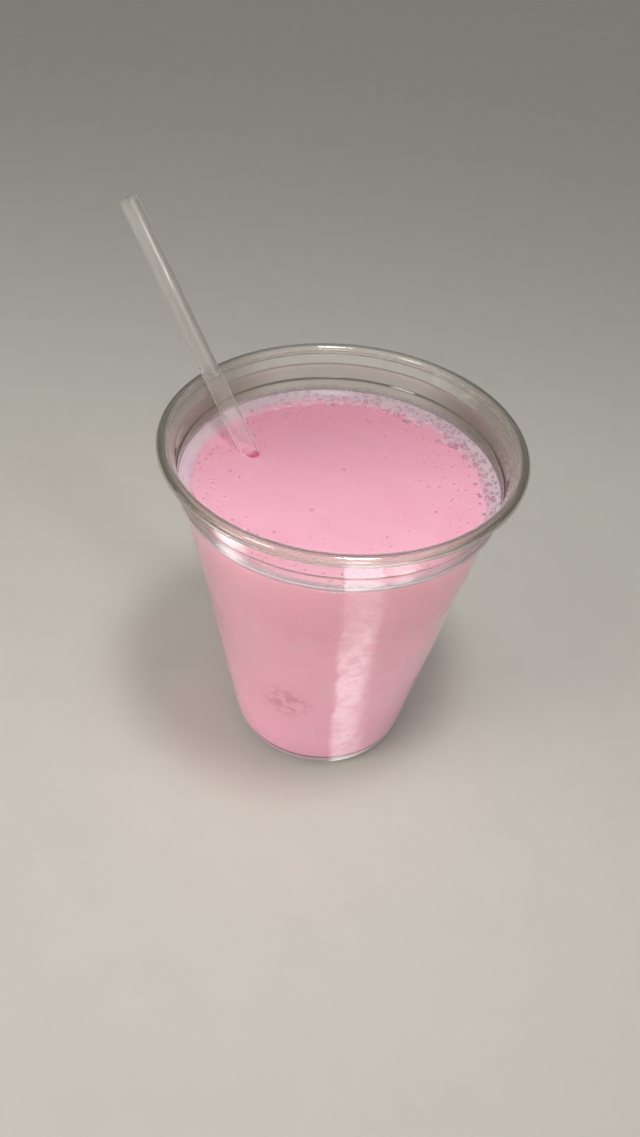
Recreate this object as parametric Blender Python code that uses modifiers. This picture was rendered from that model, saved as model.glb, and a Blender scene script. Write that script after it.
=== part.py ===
"""A rose lassi in a clear plastic cup, with a straight clear straw leaning on its rim.

Metres, +Z up. The cup stands on the plane z = 0. The origin is the middle of the
floor area that the whole object covers, straw included, so the cup's own axis
stands CUP_AXIS_X to the right of it. Every round shape is worked out as pairs
(radius from the cup's axis, height) and turned about that axis.
"""

import math

import bmesh
import bpy
import numpy as np
from mathutils import Euler, Vector

# Cup
RIM_RADIUS = 0.0490
HEIGHT = 0.1100
WALL = 0.0005
BEAD_RADIUS = 0.00164
CURL_END = -135.0
FLARE = 21.0
COLLAR_RADIUS = 0.04482
STEP_HEIGHT = 0.1002
STEP_DROP = 0.0005
STEP_DEPTH = 0.00044
SHOULDER_RADIUS = 0.0443
SHOULDER_HEIGHT = 0.09527
LEDGE_DROP = 0.00067
BODY_TOP_RADIUS = 0.04303
BODY_FOOT_RADIUS = 0.02717
FOOT_ROUNDING = 0.0060
FOOT_RING_INNER = 0.0205
RECESS_HEIGHT = 0.0020
RECESS_SLOPE = 0.0008
PANEL_DOME = 0.0007
PANEL_EDGE = 0.0170
FLOOR_HEIGHT = 0.0026
FLOOR_ROUNDING = 0.0050

# Fillets where the collar's straight runs meet
SOFT_FILLET = 0.0008
CRISP_FILLET = 0.0005

# Drink and froth
LEVEL = 0.0942
FROTH_WIDTH = 0.0030
FROTH_SWELL = 0.0009
FROTH_TOP = 0.0964
FROTH_LIP = 0.0006
FROTH_BUMP = 0.00035

# Straw
STRAW_RADIUS = 0.00265
STRAW_WALL = 0.00035
STRAW_LEAN = 43.0
STRAW_TOWARDS = 137.3
STRAW_CROSSING_X = -0.0360
STRAW_CROSSING_Y = 0.0199
STRAW_ABOVE_RIM = 0.0552
STRAW_BELOW_RIM = 0.0985

# Room left between pieces that touch
GAP = 0.0003

# How finely round shapes are cut: sides about the axis, and how far a chord may cut into an arc
CUP_SIDES = 48
STRAW_SIDES = 16
FROTH_SIDES = 72
CHORD_DEPTH = 0.00004

BODY_SLOPE = (BODY_TOP_RADIUS - BODY_FOOT_RADIUS) / SHOULDER_HEIGHT
BEAD_CENTRE = (RIM_RADIUS - BEAD_RADIUS, HEIGHT - BEAD_RADIUS)

# How far the straw's tip reaches to the left of the cup's axis, and where that
# leaves the axis when the whole object is centred on the origin
STRAW_ALONG_X = math.sin(math.radians(STRAW_LEAN)) * math.cos(math.radians(STRAW_TOWARDS))
STRAW_REACH = -STRAW_CROSSING_X - STRAW_ABOVE_RIM * STRAW_ALONG_X
STRAW_REACH += STRAW_RADIUS * math.sqrt(1 - STRAW_ALONG_X**2)
CUP_AXIS_X = (STRAW_REACH - RIM_RADIUS) / 2


def chords(radius, turn):
    """How many straight runs an arc takes so that none cuts in deeper than CHORD_DEPTH."""
    return max(2, math.ceil(turn / (2 * math.acos(1 - CHORD_DEPTH / radius))))


def arc(centre, radius, start, end):
    """Points on a circle round centre, from the start angle to the end angle in degrees."""
    count = chords(radius, math.radians(abs(end - start)))
    angles = np.radians(np.linspace(start, end, count + 1))
    return [(centre[0] + radius * math.cos(a), centre[1] + radius * math.sin(a)) for a in angles]


def filleted(corners):
    """A run of straight lines through (radius, height, fillet) corners, each corner rounded."""
    points = [corners[0][:2]]
    for before, corner, after in zip(corners, corners[1:], corners[2:]):
        at = Vector(corner[:2])
        back = (Vector(before[:2]) - at).normalized()
        ahead = (Vector(after[:2]) - at).normalized()
        half = back.angle(ahead) / 2
        if corner[2] == 0 or math.pi / 2 - half < 1e-3:
            points.append(tuple(at))
            continue
        centre = at + (back + ahead).normalized() * corner[2] / math.sin(half)
        first = at + back * corner[2] / math.tan(half) - centre
        last = at + ahead * corner[2] / math.tan(half) - centre
        turn = first.angle_signed(last)
        count = chords(corner[2], abs(turn))
        for i in range(count + 1):
            share = turn * i / count
            points.append(
                (
                    centre.x + first.x * math.cos(share) + first.y * math.sin(share),
                    centre.y - first.x * math.sin(share) + first.y * math.cos(share),
                )
            )
    points.append(corners[-1][:2])
    return points


def moved_inwards(corners, distance):
    """The same run of lines moved sideways towards the cup's inside, with mitred corners."""
    at = [Vector(c[:2]) for c in corners]
    normals = []
    for a, b in zip(at, at[1:]):
        run = (b - a).normalized()
        normals.append(Vector((run.y, -run.x)))
    moved = []
    for i, point in enumerate(at):
        before, after = normals[max(i - 1, 0)], normals[min(i, len(normals) - 1)]
        mitre = (before + after) / (1 + before.dot(after))
        moved.append((*(point + mitre * distance), corners[i][2]))
    return moved


def wall_corners():
    """Outer face of the wall from the rolled rim down to the foot, as corners."""
    flare = math.radians(FLARE)
    hollow = BEAD_RADIUS - WALL
    top_radius = BEAD_CENTRE[0] - hollow * math.cos(flare)
    top_height = BEAD_CENTRE[1] + hollow * math.sin(flare)
    neck_height = top_height - (top_radius - COLLAR_RADIUS) / math.tan(flare)
    ledge_foot = SHOULDER_HEIGHT - LEDGE_DROP
    return [
        (top_radius, top_height, 0),
        (COLLAR_RADIUS, neck_height, SOFT_FILLET),
        (COLLAR_RADIUS, STEP_HEIGHT, CRISP_FILLET),
        (COLLAR_RADIUS - STEP_DEPTH, STEP_HEIGHT - STEP_DROP, CRISP_FILLET),
        (SHOULDER_RADIUS, SHOULDER_HEIGHT, CRISP_FILLET),
        (BODY_TOP_RADIUS - LEDGE_DROP * BODY_SLOPE, ledge_foot, CRISP_FILLET),
        (BODY_FOOT_RADIUS, 0.0, FOOT_ROUNDING),
    ]


def inside_line(clearance=0.0):
    """Inner face of the cup moved in by clearance, from the middle of the floor up to the rim."""
    wall = moved_inwards(wall_corners(), WALL + clearance)
    top, bottom = wall[-2], wall[-1]
    floor = FLOOR_HEIGHT + clearance
    share = (floor - bottom[1]) / (top[1] - bottom[1])
    corner = (bottom[0] + share * (top[0] - bottom[0]), floor, FLOOR_ROUNDING - clearance)
    middle = [(0.0, floor + PANEL_DOME, 0), (PANEL_EDGE, floor, 0)]
    return filleted(middle + [corner] + wall[-2::-1])


def cup_outline():
    """The cup's section: up the inside, over the hollow rolled rim, down the outside, under."""
    flare_angle = 180.0 - FLARE
    curl = arc(BEAD_CENTRE, BEAD_RADIUS, flare_angle, CURL_END)
    hollow = arc(BEAD_CENTRE, BEAD_RADIUS - WALL, CURL_END, flare_angle)
    recess_foot = (FOOT_RING_INNER, 0.0, CRISP_FILLET)
    recess_top = (FOOT_RING_INNER - RECESS_SLOPE, RECESS_HEIGHT, CRISP_FILLET)
    panel = [(PANEL_EDGE, RECESS_HEIGHT, 0), (0.0, RECESS_HEIGHT + PANEL_DOME, 0)]
    outside = filleted(wall_corners() + [recess_foot, recess_top] + panel)
    return inside_line()[:-1] + curl + hollow[:-1] + outside


def drink_outline():
    """The drink's section: out along its level top, down the wall and back along the floor."""
    line = np.array(inside_line(GAP))
    below = line[line[:, 1] < LEVEL]
    edge = (float(np.interp(LEVEL, line[3:, 1], line[3:, 0])), LEVEL)
    return [(0.0, LEVEL), edge] + [tuple(p) for p in below[::-1]]


def plastic(name, colour, roughness, alpha=1.0):
    """A plain material in the piece's own colour."""
    material = bpy.data.materials.new(name)
    material.use_nodes = True
    shader = material.node_tree.nodes["Principled BSDF"]
    shader.inputs["Base Color"].default_value = (*colour, 1.0)
    shader.inputs["Roughness"].default_value = roughness
    shader.inputs["Metallic"].default_value = 0.0
    shader.inputs["Alpha"].default_value = alpha
    material.diffuse_color = (*colour, alpha)
    return material


def collection(name):
    made = bpy.data.collections.new(name)
    bpy.context.scene.collection.children.link(made)
    return made


def placed(name, mesh, material, group):
    """An object for this mesh, standing on the cup's axis."""
    made = bpy.data.objects.new(name, mesh)
    mesh.materials.append(material)
    group.objects.link(made)
    made.location = (CUP_AXIS_X, 0.0, 0.0)
    return made


def turned(name, outline, sides, material, group):
    """The outline turned about Z with a Screw modifier."""
    mesh = bpy.data.meshes.new(name)
    points = [(r, 0.0, z) for r, z in outline]
    mesh.from_pydata(points, [(i, i + 1) for i in range(len(points) - 1)], [])
    made = placed(name, mesh, material, group)
    screw = made.modifiers.new("turn", "SCREW")
    screw.axis = "Z"
    screw.steps = screw.render_steps = sides
    screw.use_merge_vertices = True
    screw.merge_threshold = 0.00001
    screw.use_smooth_shade = True
    return made


def tube(name, outer, inner, bottom, top, material, group):
    """An open tube about Z, turned from a closed rectangle."""
    outline = [(inner, bottom), (inner, top), (outer, top), (outer, bottom), (inner, bottom)]
    return turned(name, outline, STRAW_SIDES, material, group)


def lean(straw):
    """Turns an upright tube so that it leans on the rim, passing the straw's crossing point."""
    straw.rotation_euler = Euler((0.0, math.radians(STRAW_LEAN), math.radians(STRAW_TOWARDS)))
    straw.location = (CUP_AXIS_X + STRAW_CROSSING_X, STRAW_CROSSING_Y, BEAD_CENTRE[1])


def make_cup(group):
    clear = plastic("clear_plastic", (0.80, 0.80, 0.77), 0.08, 0.35)
    return turned("cup", cup_outline(), CUP_SIDES, clear, group)


def make_straw(group):
    clear = plastic("straw_plastic", (0.82, 0.82, 0.80), 0.2, 0.5)
    inner = STRAW_RADIUS - STRAW_WALL
    straw = tube("straw", STRAW_RADIUS, inner, -STRAW_BELOW_RIM, STRAW_ABOVE_RIM, clear, group)
    lean(straw)
    return straw


def make_drink(group, cutters):
    """The drink up to its level, with a sleeve cut out of it where the straw's wall stands.

    The sleeve ends just under the straw, so the drink inside the straw stays joined to the rest.
    """
    pink = plastic("rose_lassi", (0.84, 0.37, 0.46), 0.3)
    drink = turned("drink", drink_outline(), CUP_SIDES, pink, group)
    sleeve = tube(
        "straw_sleeve",
        STRAW_RADIUS + GAP,
        STRAW_RADIUS - STRAW_WALL - GAP,
        -STRAW_BELOW_RIM - GAP,
        0.0,
        pink,
        cutters,
    )
    lean(sleeve)
    sleeve.hide_render = True
    sleeve.display_type = "WIRE"
    cut = drink.modifiers.new("room_for_the_straw", "BOOLEAN")
    cut.operation = "DIFFERENCE"
    cut.object = sleeve
    return drink


def froth_section(angle):
    """The froth ring's section at an angle: flat below, against the wall, bubbly on top.

    Its inner edge swings in and out, and its top rises and falls, as sums of sines.
    """
    swing = 0.5 * math.sin(2 * angle + 0.4) + 0.3 * math.sin(5 * angle) + 0.2 * math.sin(11 * angle)
    bumps = 0.6 * math.sin(17 * angle + 1.0) + 0.4 * math.sin(29 * angle)
    line = np.array(inside_line(GAP))
    wall = line[(line[:, 1] > LEVEL + GAP) & (line[:, 1] < FROTH_TOP)]
    foot = LEVEL + GAP
    foot_radius = float(np.interp(foot, line[3:, 1], line[3:, 0]))
    top_radius = float(np.interp(FROTH_TOP, line[3:, 1], line[3:, 0]))
    inner = foot_radius - FROTH_WIDTH - FROTH_SWELL * swing
    crest = foot + 2 * FROTH_LIP + FROTH_BUMP * bumps
    return (
        [(inner, foot), (foot_radius, foot)]
        + [tuple(p) for p in wall]
        + [(top_radius, FROTH_TOP)]
        + [(foot_radius - FROTH_LIP, crest + FROTH_LIP / 2)]
        + [((inner + foot_radius) / 2, crest), (inner + FROTH_LIP / 2, foot + FROTH_LIP)]
    )


def make_froth(group):
    """A ring whose section changes round the cup, lofted from froth_section."""
    pale = plastic("froth", (0.78, 0.55, 0.64), 0.4)
    angles = np.linspace(0.0, 2 * math.pi, FROTH_SIDES, endpoint=False)
    rings = np.array([froth_section(a) for a in angles])
    count = rings.shape[1]
    x = rings[:, :, 0] * np.cos(angles)[:, None]
    y = rings[:, :, 0] * np.sin(angles)[:, None]
    points = np.stack([x, y, rings[:, :, 1]], axis=-1).reshape(-1, 3)
    faces = []
    for i in range(FROTH_SIDES):
        here, there = i * count, (i + 1) % FROTH_SIDES * count
        for j in range(count):
            k = (j + 1) % count
            faces.append((here + j, there + j, there + k, here + k))
    mesh = bpy.data.meshes.new("froth")
    mesh.from_pydata(points.tolist(), [], faces)
    shape = bmesh.new()
    shape.from_mesh(mesh)
    bmesh.ops.recalc_face_normals(shape, faces=shape.faces)
    shape.to_mesh(mesh)
    shape.free()
    return placed("froth", mesh, pale, group)


def main():
    for old in list(bpy.data.objects):
        bpy.data.objects.remove(old)
    pieces = collection("rose_lassi")
    cutters = collection("cutters")
    make_cup(pieces)
    make_drink(pieces, cutters)
    make_froth(pieces)
    make_straw(pieces)


main()
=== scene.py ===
"""A rose lassi in a clear plastic cup with a clear straw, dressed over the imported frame.

Metres, +Z up, in the frame that the CAD uses. Round shapes are sections, pairs
(radius from the cup's axis, height), turned about that axis. Angles go round the
axis from +X, so 0 is the right of the picture, 90 the back and -90 the front.
"""

import math

import bpy
import numpy as np
from mathutils import Matrix, Vector


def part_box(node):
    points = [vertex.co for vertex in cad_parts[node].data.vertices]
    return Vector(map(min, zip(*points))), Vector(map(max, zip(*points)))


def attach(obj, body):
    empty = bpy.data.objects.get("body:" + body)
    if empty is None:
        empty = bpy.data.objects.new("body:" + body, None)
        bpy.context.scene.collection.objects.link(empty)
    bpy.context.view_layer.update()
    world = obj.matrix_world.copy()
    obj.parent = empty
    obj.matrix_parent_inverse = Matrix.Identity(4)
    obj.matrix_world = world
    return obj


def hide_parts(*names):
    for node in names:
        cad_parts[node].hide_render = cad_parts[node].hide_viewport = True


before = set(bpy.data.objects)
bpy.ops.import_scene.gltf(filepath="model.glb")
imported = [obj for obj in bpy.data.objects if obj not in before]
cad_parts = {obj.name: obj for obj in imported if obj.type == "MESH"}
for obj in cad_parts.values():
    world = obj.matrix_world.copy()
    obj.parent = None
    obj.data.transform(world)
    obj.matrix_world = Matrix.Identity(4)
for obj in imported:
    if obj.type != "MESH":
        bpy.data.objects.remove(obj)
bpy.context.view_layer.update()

cup_low, cup_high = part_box("cup")
AXIS_X = (cup_low.x + cup_high.x) / 2

MM = 0.001

# Cup wall, as in the CAD
RIM_RADIUS = 49.0 * MM
HEIGHT = 110.0 * MM
WALL = 0.5 * MM
BEAD_RADIUS = 1.64 * MM
CURL_END = -135.0
FLARE = 21.0
COLLAR_RADIUS = 44.82 * MM
STEP_HEIGHT = 100.2 * MM
STEP_DROP = 0.5 * MM
STEP_DEPTH = 0.44 * MM
SHOULDER_RADIUS = 44.3 * MM
SHOULDER_HEIGHT = 95.27 * MM
LEDGE_DROP = 0.67 * MM
BODY_TOP_RADIUS = 43.03 * MM
BODY_FOOT_RADIUS = 27.17 * MM
FOOT_ROUNDING = 6.0 * MM
FOOT_RING_INNER = 20.5 * MM
RECESS_HEIGHT = 2.0 * MM
RECESS_SLOPE = 0.8 * MM
PANEL_DOME = 0.7 * MM
PANEL_EDGE = 17.0 * MM
FLOOR_HEIGHT = 2.6 * MM
FLOOR_ROUNDING = 5.0 * MM
SOFT_FILLET = 0.8 * MM
CRISP_FILLET = 0.5 * MM
BODY_SLOPE = (BODY_TOP_RADIUS - BODY_FOOT_RADIUS) / SHOULDER_HEIGHT
BEAD_CENTRE = np.array([RIM_RADIUS - BEAD_RADIUS, HEIGHT - BEAD_RADIUS])

# Drink and straw, as in the CAD
LEVEL = 94.2 * MM
FROTH_TOP = 96.4 * MM
STRAW_RADIUS = 2.65 * MM
STRAW_WALL = 0.35 * MM
STRAW_LEAN = math.radians(43.0)
STRAW_TOWARDS = math.radians(137.3)
STRAW_CROSSING = np.array([AXIS_X - 36.0 * MM, 19.9 * MM, BEAD_CENTRE[1]])
STRAW_ABOVE_RIM = 55.2 * MM
STRAW_BELOW_RIM = 98.5 * MM
STRAW_LIP = 0.06 * MM
STRAW_LINE = np.array(
    [
        math.sin(STRAW_LEAN) * math.cos(STRAW_TOWARDS),
        math.sin(STRAW_LEAN) * math.sin(STRAW_TOWARDS),
        math.cos(STRAW_LEAN),
    ]
)

# Camera, worked out from the rim, the shoulder and the foot in the photograph
PICTURE = (640.0, 1137.0)
FOCAL_PIXELS = 912.71
CAMERA_PLACE = np.array([5.13, -199.72, 246.62]) * MM
CAMERA_TILT = math.radians(42.82)
CAMERA_ROLL = math.radians(5.02)
SENSOR = 36.0
BACKWARDS = np.array([0.0, -math.cos(CAMERA_TILT), math.sin(CAMERA_TILT)])
UPWARDS = np.array([0.0, math.sin(CAMERA_TILT), math.cos(CAMERA_TILT)])
SIDEWAYS = np.array([1.0, 0.0, 0.0])
CAMERA_X = math.cos(CAMERA_ROLL) * SIDEWAYS + math.sin(CAMERA_ROLL) * UPWARDS
CAMERA_Y = -math.sin(CAMERA_ROLL) * SIDEWAYS + math.cos(CAMERA_ROLL) * UPWARDS

# The drink's colour where it is deepest and where it is palest, and its painted shade
PINK_DEEP = (0.84, 0.395, 0.505)
PINK_PALE = (0.88, 0.44, 0.56)
PINK_SHADED = (0.585, 0.238, 0.312)

# The same drink seen through the wall: darker at the shoulder as painted shade, paler at the foot as
# painted light
SIDE_SHADED_TOP = (0.665, 0.325, 0.405)
SIDE_LIT_FOOT = (1.0, 0.53, 0.675)

# Folds of the collar in millimetres, drawn as lines of painted shade: where it meets the
# flare, and the ones drawn darker as (height, half width, colour)
NECK_HEIGHT = 108.4
COLLAR_SHADE_LINES = [
    (104.95, 0.20, (0.34, 0.30, 0.26)),
    (100.0, 0.30, (0.34, 0.30, 0.25)),
]

# How finely the turned pieces are cut: columns round the axis, and rows
CUP_COLUMNS = 240
LASSI_COLUMNS = 288
LASSI_TOP_ROWS = 120
FROTH_COLUMNS = 360
FROTH_ROWS = 24
FILM_COLUMNS = 300
FILM_ROWS = 14
STRAW_COLUMNS = 72
STRAW_ROWS = 90

# The froth's top: how steeply it falls inwards, and how far the bubbles on it reach in
FROTH_FALL = 3.2
FROTH_SPREAD = 3.4 * MM

# How far pieces reach into the wall, so that no gap of air shows
LASSI_INTO_WALL = 0.1 * MM
FROTH_INTO_WALL = 0.05 * MM

# The milk film: its top, and how far its two faces stand in from the wall
FILM_TOP = 98.6 * MM
FILM_OUTER = 0.03 * MM
FILM_INNER = 0.09 * MM

# Bubbles: how many are drawn at random, and how high they stand above the drink's top
SMALL_COUNT = 380
FROTH_COUNT = 64
ABOVE_TOP = 0.03 * MM
LARGE_GROWTH = 1.35

RANDOM_SEED = 24
chance = np.random.default_rng(RANDOM_SEED)


# Sections


def rounded(corners, chord=0.000004):
    """A run of straight lines through (radius, height, fillet) corners, as an array.

    Each corner gives way to an arc that touches both lines: its centre lies on the
    corner's bisector, fillet / sin(half the angle) away from the corner.
    """
    corners = np.array(corners, float)
    at, fillet = corners[:, :2], corners[:, 2]
    line = [at[:1]]
    for before, corner, after, radius in zip(at, at[1:], at[2:], fillet[1:]):
        back = (before - corner) / np.linalg.norm(before - corner)
        ahead = (after - corner) / np.linalg.norm(after - corner)
        half = math.acos(np.clip(back @ ahead, -1, 1)) / 2
        if radius == 0 or math.pi / 2 - half < 1e-3:
            line.append(corner[None])
            continue
        middle = (back + ahead) / np.linalg.norm(back + ahead)
        centre = corner + middle * radius / math.sin(half)
        turn = math.pi - 2 * half
        steps = max(4, math.ceil(turn / (2 * math.acos(1 - chord / radius))))
        share = np.linspace(-turn / 2, turn / 2, steps + 1)[:, None]
        across = ahead - back
        across /= np.linalg.norm(across)
        line.append(centre - middle * radius * np.cos(share) + across * radius * np.sin(share))
    line.append(at[-1:])
    return np.concatenate(line)


def moved_in(corners, distance):
    """The same run of lines moved sideways towards the cup's inside, with mitred corners."""
    corners = np.array(corners, float)
    run = np.diff(corners[:, :2], axis=0)
    run /= np.linalg.norm(run, axis=1)[:, None]
    normal = np.stack([run[:, 1], -run[:, 0]], axis=1)
    before = np.concatenate([normal[:1], normal])
    after = np.concatenate([normal, normal[-1:]])
    mitre = (before + after) / (1 + (before * after).sum(axis=1))[:, None]
    corners[:, :2] += mitre * distance
    return corners


def wall_corners():
    """Outer face of the wall from the rolled rim down to the foot, as corners."""
    flare = math.radians(FLARE)
    hollow = BEAD_RADIUS - WALL
    top_radius = BEAD_CENTRE[0] - hollow * math.cos(flare)
    top_height = BEAD_CENTRE[1] + hollow * math.sin(flare)
    neck_height = top_height - (top_radius - COLLAR_RADIUS) / math.tan(flare)
    ledge_foot = SHOULDER_HEIGHT - LEDGE_DROP
    return [
        (top_radius, top_height, 0),
        (COLLAR_RADIUS, neck_height, SOFT_FILLET),
        (COLLAR_RADIUS, STEP_HEIGHT, CRISP_FILLET),
        (COLLAR_RADIUS - STEP_DEPTH, STEP_HEIGHT - STEP_DROP, CRISP_FILLET),
        (SHOULDER_RADIUS, SHOULDER_HEIGHT, CRISP_FILLET),
        (BODY_TOP_RADIUS - LEDGE_DROP * BODY_SLOPE, ledge_foot, CRISP_FILLET),
        (BODY_FOOT_RADIUS, 0.0, FOOT_ROUNDING),
    ]


def inside_line(clearance=0.0):
    """Inner face of the cup moved in by clearance, from the middle of the floor to the rim."""
    wall = moved_in(wall_corners(), WALL + clearance)
    top, bottom = wall[-2], wall[-1]
    floor = FLOOR_HEIGHT + clearance
    share = (floor - bottom[1]) / (top[1] - bottom[1])
    corner = (bottom[0] + share * (top[0] - bottom[0]), floor, FLOOR_ROUNDING - clearance)
    middle = [(0.0, floor + PANEL_DOME, 0), (PANEL_EDGE, floor, 0)]
    return rounded(middle + [corner] + [tuple(c) for c in wall[-2::-1]])


def arc(centre, radius, start, end, count):
    """Points on a circle round centre, from the start angle to the end angle in degrees."""
    angle = np.radians(np.linspace(start, end, count))
    return centre + radius * np.stack([np.cos(angle), np.sin(angle)], axis=1)


def cup_section():
    """Up the inside, over the hollow rolled rim, down the outside and under the foot."""
    lift = 180.0 - FLARE
    curl = arc(BEAD_CENTRE, BEAD_RADIUS, lift, CURL_END, 34)
    hollow = arc(BEAD_CENTRE, BEAD_RADIUS - WALL, CURL_END, lift, 26)
    recess = [
        (FOOT_RING_INNER, 0.0, CRISP_FILLET),
        (FOOT_RING_INNER - RECESS_SLOPE, RECESS_HEIGHT, CRISP_FILLET),
    ]
    panel = [(PANEL_EDGE, RECESS_HEIGHT, 0), (0.0, RECESS_HEIGHT + PANEL_DOME, 0)]
    outside = rounded(wall_corners() + recess + panel)
    return np.concatenate([inside_line()[:-1], curl, hollow[:-1], outside])


def with_steps(line, step):
    """The same line with extra points, so that no straight run is longer than step."""
    length = np.concatenate([[0], np.cumsum(np.linalg.norm(np.diff(line, axis=0), axis=1))])
    extra = np.arange(0, length[-1], step)
    gap = np.abs(extra[:, None] - length[None]).min(axis=1)
    every = np.sort(np.concatenate([length, extra[gap > step / 3]]))
    every = every[np.concatenate([[True], np.diff(every) > 1e-9])]
    return np.stack([np.interp(every, length, line[:, 0]), np.interp(every, length, line[:, 1])], 1)


def ripple(angle, height):
    """How far the thin wall stands out of round: slow waves round the cup and up it.

    Three sines of the angle and the height, faded out at the foot and at the collar.
    """
    up = height / MM
    wave = 0.5 * np.sin(3 * angle + 0.05 * up + 0.7)
    wave += 0.3 * np.sin(7 * angle - 0.11 * up + 2.1)
    wave += 0.25 * np.sin(2 * angle + 0.23 * up + 4.0)
    fade = np.clip((up - 8) / 12, 0, 1) * np.clip((93 - up) / 12, 0, 1)
    return 0.05 * MM * wave * fade


# Meshes


def new_piece(name, points, faces, closed=True):
    """A mesh object in the row frame. On a closed surface the faces are turned outwards:
    the sum of each triangle's (corner . (corner x corner)) is positive if they are."""
    points = np.asarray(points, float)
    if closed:
        first = np.array([f[:3] for f in faces])
        rest = np.array([(f[0], f[2], f[3]) for f in faces if len(f) == 4])
        corners = points[np.concatenate([first, rest]) if len(rest) else first]
        if np.linalg.det(corners).sum() < 0:
            faces = [f[::-1] for f in faces]
    mesh = bpy.data.meshes.new(name)
    mesh.from_pydata(points.tolist(), [], faces)
    mesh.update()
    mesh.shade_smooth()
    made = bpy.data.objects.new(name, mesh)
    bpy.context.scene.collection.objects.link(made)
    return made


def ring_faces(rows, columns, close_rows=False):
    """Four-sided faces of a grid whose columns go round, rows of columns points each."""
    row = np.arange(rows if close_rows else rows - 1)[:, None]
    column = np.arange(columns)[None]
    after_row, after_column = (row + 1) % rows, (column + 1) % columns
    corners = [
        row * columns + column,
        row * columns + after_column,
        after_row * columns + after_column,
        after_row * columns + column,
    ]
    return np.stack([np.broadcast_to(c, (row.size, columns)) for c in corners], -1).reshape(-1, 4)


def pole_faces(first, columns, pole):
    """Three-sided faces from one row of a grid to the point that closes it."""
    column = np.arange(columns)
    return np.stack([first + column, first + (column + 1) % columns, np.full(columns, pole)], -1)


def turned(name, radius, height, angles):
    """A closed surface about the cup's axis: radius and height are arrays of a row per
    section point and a column per angle, and the first and last row are one point each."""
    x = AXIS_X + radius * np.cos(angles)
    y = radius * np.sin(angles)
    grid = np.stack([x, y, np.broadcast_to(height, x.shape)], axis=-1)
    rows, columns = x.shape
    inner = grid[1:-1].reshape(-1, 3)
    poles = [grid[0].mean(axis=0), grid[-1].mean(axis=0)]
    count = len(inner)
    faces = ring_faces(rows - 2, columns).tolist()
    faces += pole_faces(0, columns, count)[:, ::-1].tolist()
    faces += pole_faces((rows - 3) * columns, columns, count + 1).tolist()
    return new_piece(name, np.concatenate([inner, poles]), faces)


def around(count):
    """Equal angles round the axis: 2 pi * index / count."""
    return np.linspace(0, 2 * math.pi, count, endpoint=False)


def scattered(name, centres, sizes, ups, lift, rings=3, sides=8):
    """Many low domes as one piece: each is a cap of a ball, closed by a flat underside.

    Rows of the cap stand at equal angles from its top, radius sin(angle) * size and
    height cos(angle) * size * lift, all domes at once as one array.
    """
    angle = np.linspace(0, math.pi / 2, rings + 1)[1:]
    turn = around(sides)
    helper = np.where(np.abs(ups[:, 2:]) > 0.9, [[1.0, 0, 0]], [[0, 0, 1.0]])
    across = np.cross(helper, ups)
    across /= np.linalg.norm(across, axis=1)[:, None]
    other = np.cross(ups, across)
    flat = np.sin(angle)[:, None, None] * np.stack([np.cos(turn), np.sin(turn)], -1)[None]
    rise = np.cos(angle)[:, None] * np.ones(sides)
    size = sizes[:, None, None, None]
    shell = centres[:, None, None] + size * (
        flat[None, ..., :1] * across[:, None, None]
        + flat[None, ..., 1:] * other[:, None, None]
        + rise[None, ..., None] * lift * ups[:, None, None]
    )
    top = centres + sizes[:, None] * lift * ups
    each = rings * sides + 2
    points = np.concatenate(
        [shell.reshape(len(centres), -1, 3), top[:, None], centres[:, None]], axis=1
    ).reshape(-1, 3)
    quads = ring_faces(rings, sides)
    caps = np.concatenate(
        [
            pole_faces(0, sides, rings * sides)[:, ::-1],
            pole_faces((rings - 1) * sides, sides, rings * sides + 1),
        ]
    )
    shift = (np.arange(len(centres)) * each)[:, None, None]
    faces = (quads[None] + shift).reshape(-1, 4).tolist()
    faces += (caps[None] + shift).reshape(-1, 3).tolist()
    return new_piece(name, points, faces)


def on_level(pixels, height=LEVEL):
    """The points at a height that lie behind places in the photograph's picture."""
    pixels = np.array(pixels, float).reshape(-1, 2)
    ray = (pixels[:, :1] - PICTURE[0] / 2) / FOCAL_PIXELS * CAMERA_X
    ray = ray - (pixels[:, 1:] - PICTURE[1] / 2) / FOCAL_PIXELS * CAMERA_Y - BACKWARDS
    reach = (height - CAMERA_PLACE[2]) / ray[:, 2]
    return CAMERA_PLACE + ray * reach[:, None]


def on_body(pixel):
    """The first point of the tapered wall that lies behind a place in the picture.

    Steps along the line of sight until its distance from the axis is less than the
    wall's radius there, foot radius + slope * height.
    """
    near, far = on_level(pixel, BODY_TOP_RADIUS * 3)[0], on_level(pixel, 0.0)[0]
    steps = near + np.linspace(0, 1, 4000)[:, None] * (far - near)
    radius = np.hypot(steps[:, 0] - AXIS_X, steps[:, 1])
    inside = radius < BODY_FOOT_RADIUS + BODY_SLOPE * steps[:, 2]
    return steps[np.argmax(inside & (steps[:, 2] < SHOULDER_HEIGHT))]


# Materials


class Wire:
    """A shader socket that takes part in sums: each operator adds one Math node."""

    def __init__(self, socket):
        self.socket = socket

    def maths(self, operation, *terms, clamp=False):
        """One Math node over the terms, each a Wire or a number."""
        node = self.socket.id_data.nodes.new("ShaderNodeMath")
        node.operation = operation
        node.use_clamp = clamp
        for slot, term in zip(node.inputs, terms):
            if isinstance(term, Wire):
                self.socket.id_data.links.new(term.socket, slot)
            else:
                slot.default_value = term
        return Wire(node.outputs[0])

    def __add__(self, other):
        return self.maths("ADD", self, other)

    def __radd__(self, other):
        return self.maths("ADD", other, self)

    def __sub__(self, other):
        return self.maths("SUBTRACT", self, other)

    def __rsub__(self, other):
        return self.maths("SUBTRACT", other, self)

    def __mul__(self, other):
        return self.maths("MULTIPLY", self, other)

    def __rmul__(self, other):
        return self.maths("MULTIPLY", other, self)

    def __truediv__(self, other):
        return self.maths("DIVIDE", self, other)

    def __pow__(self, other):
        return self.maths("POWER", self, other)

    def kept(self):
        """The same value held between 0 and 1."""
        return self.maths("ADD", self, 0.0, clamp=True)


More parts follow.
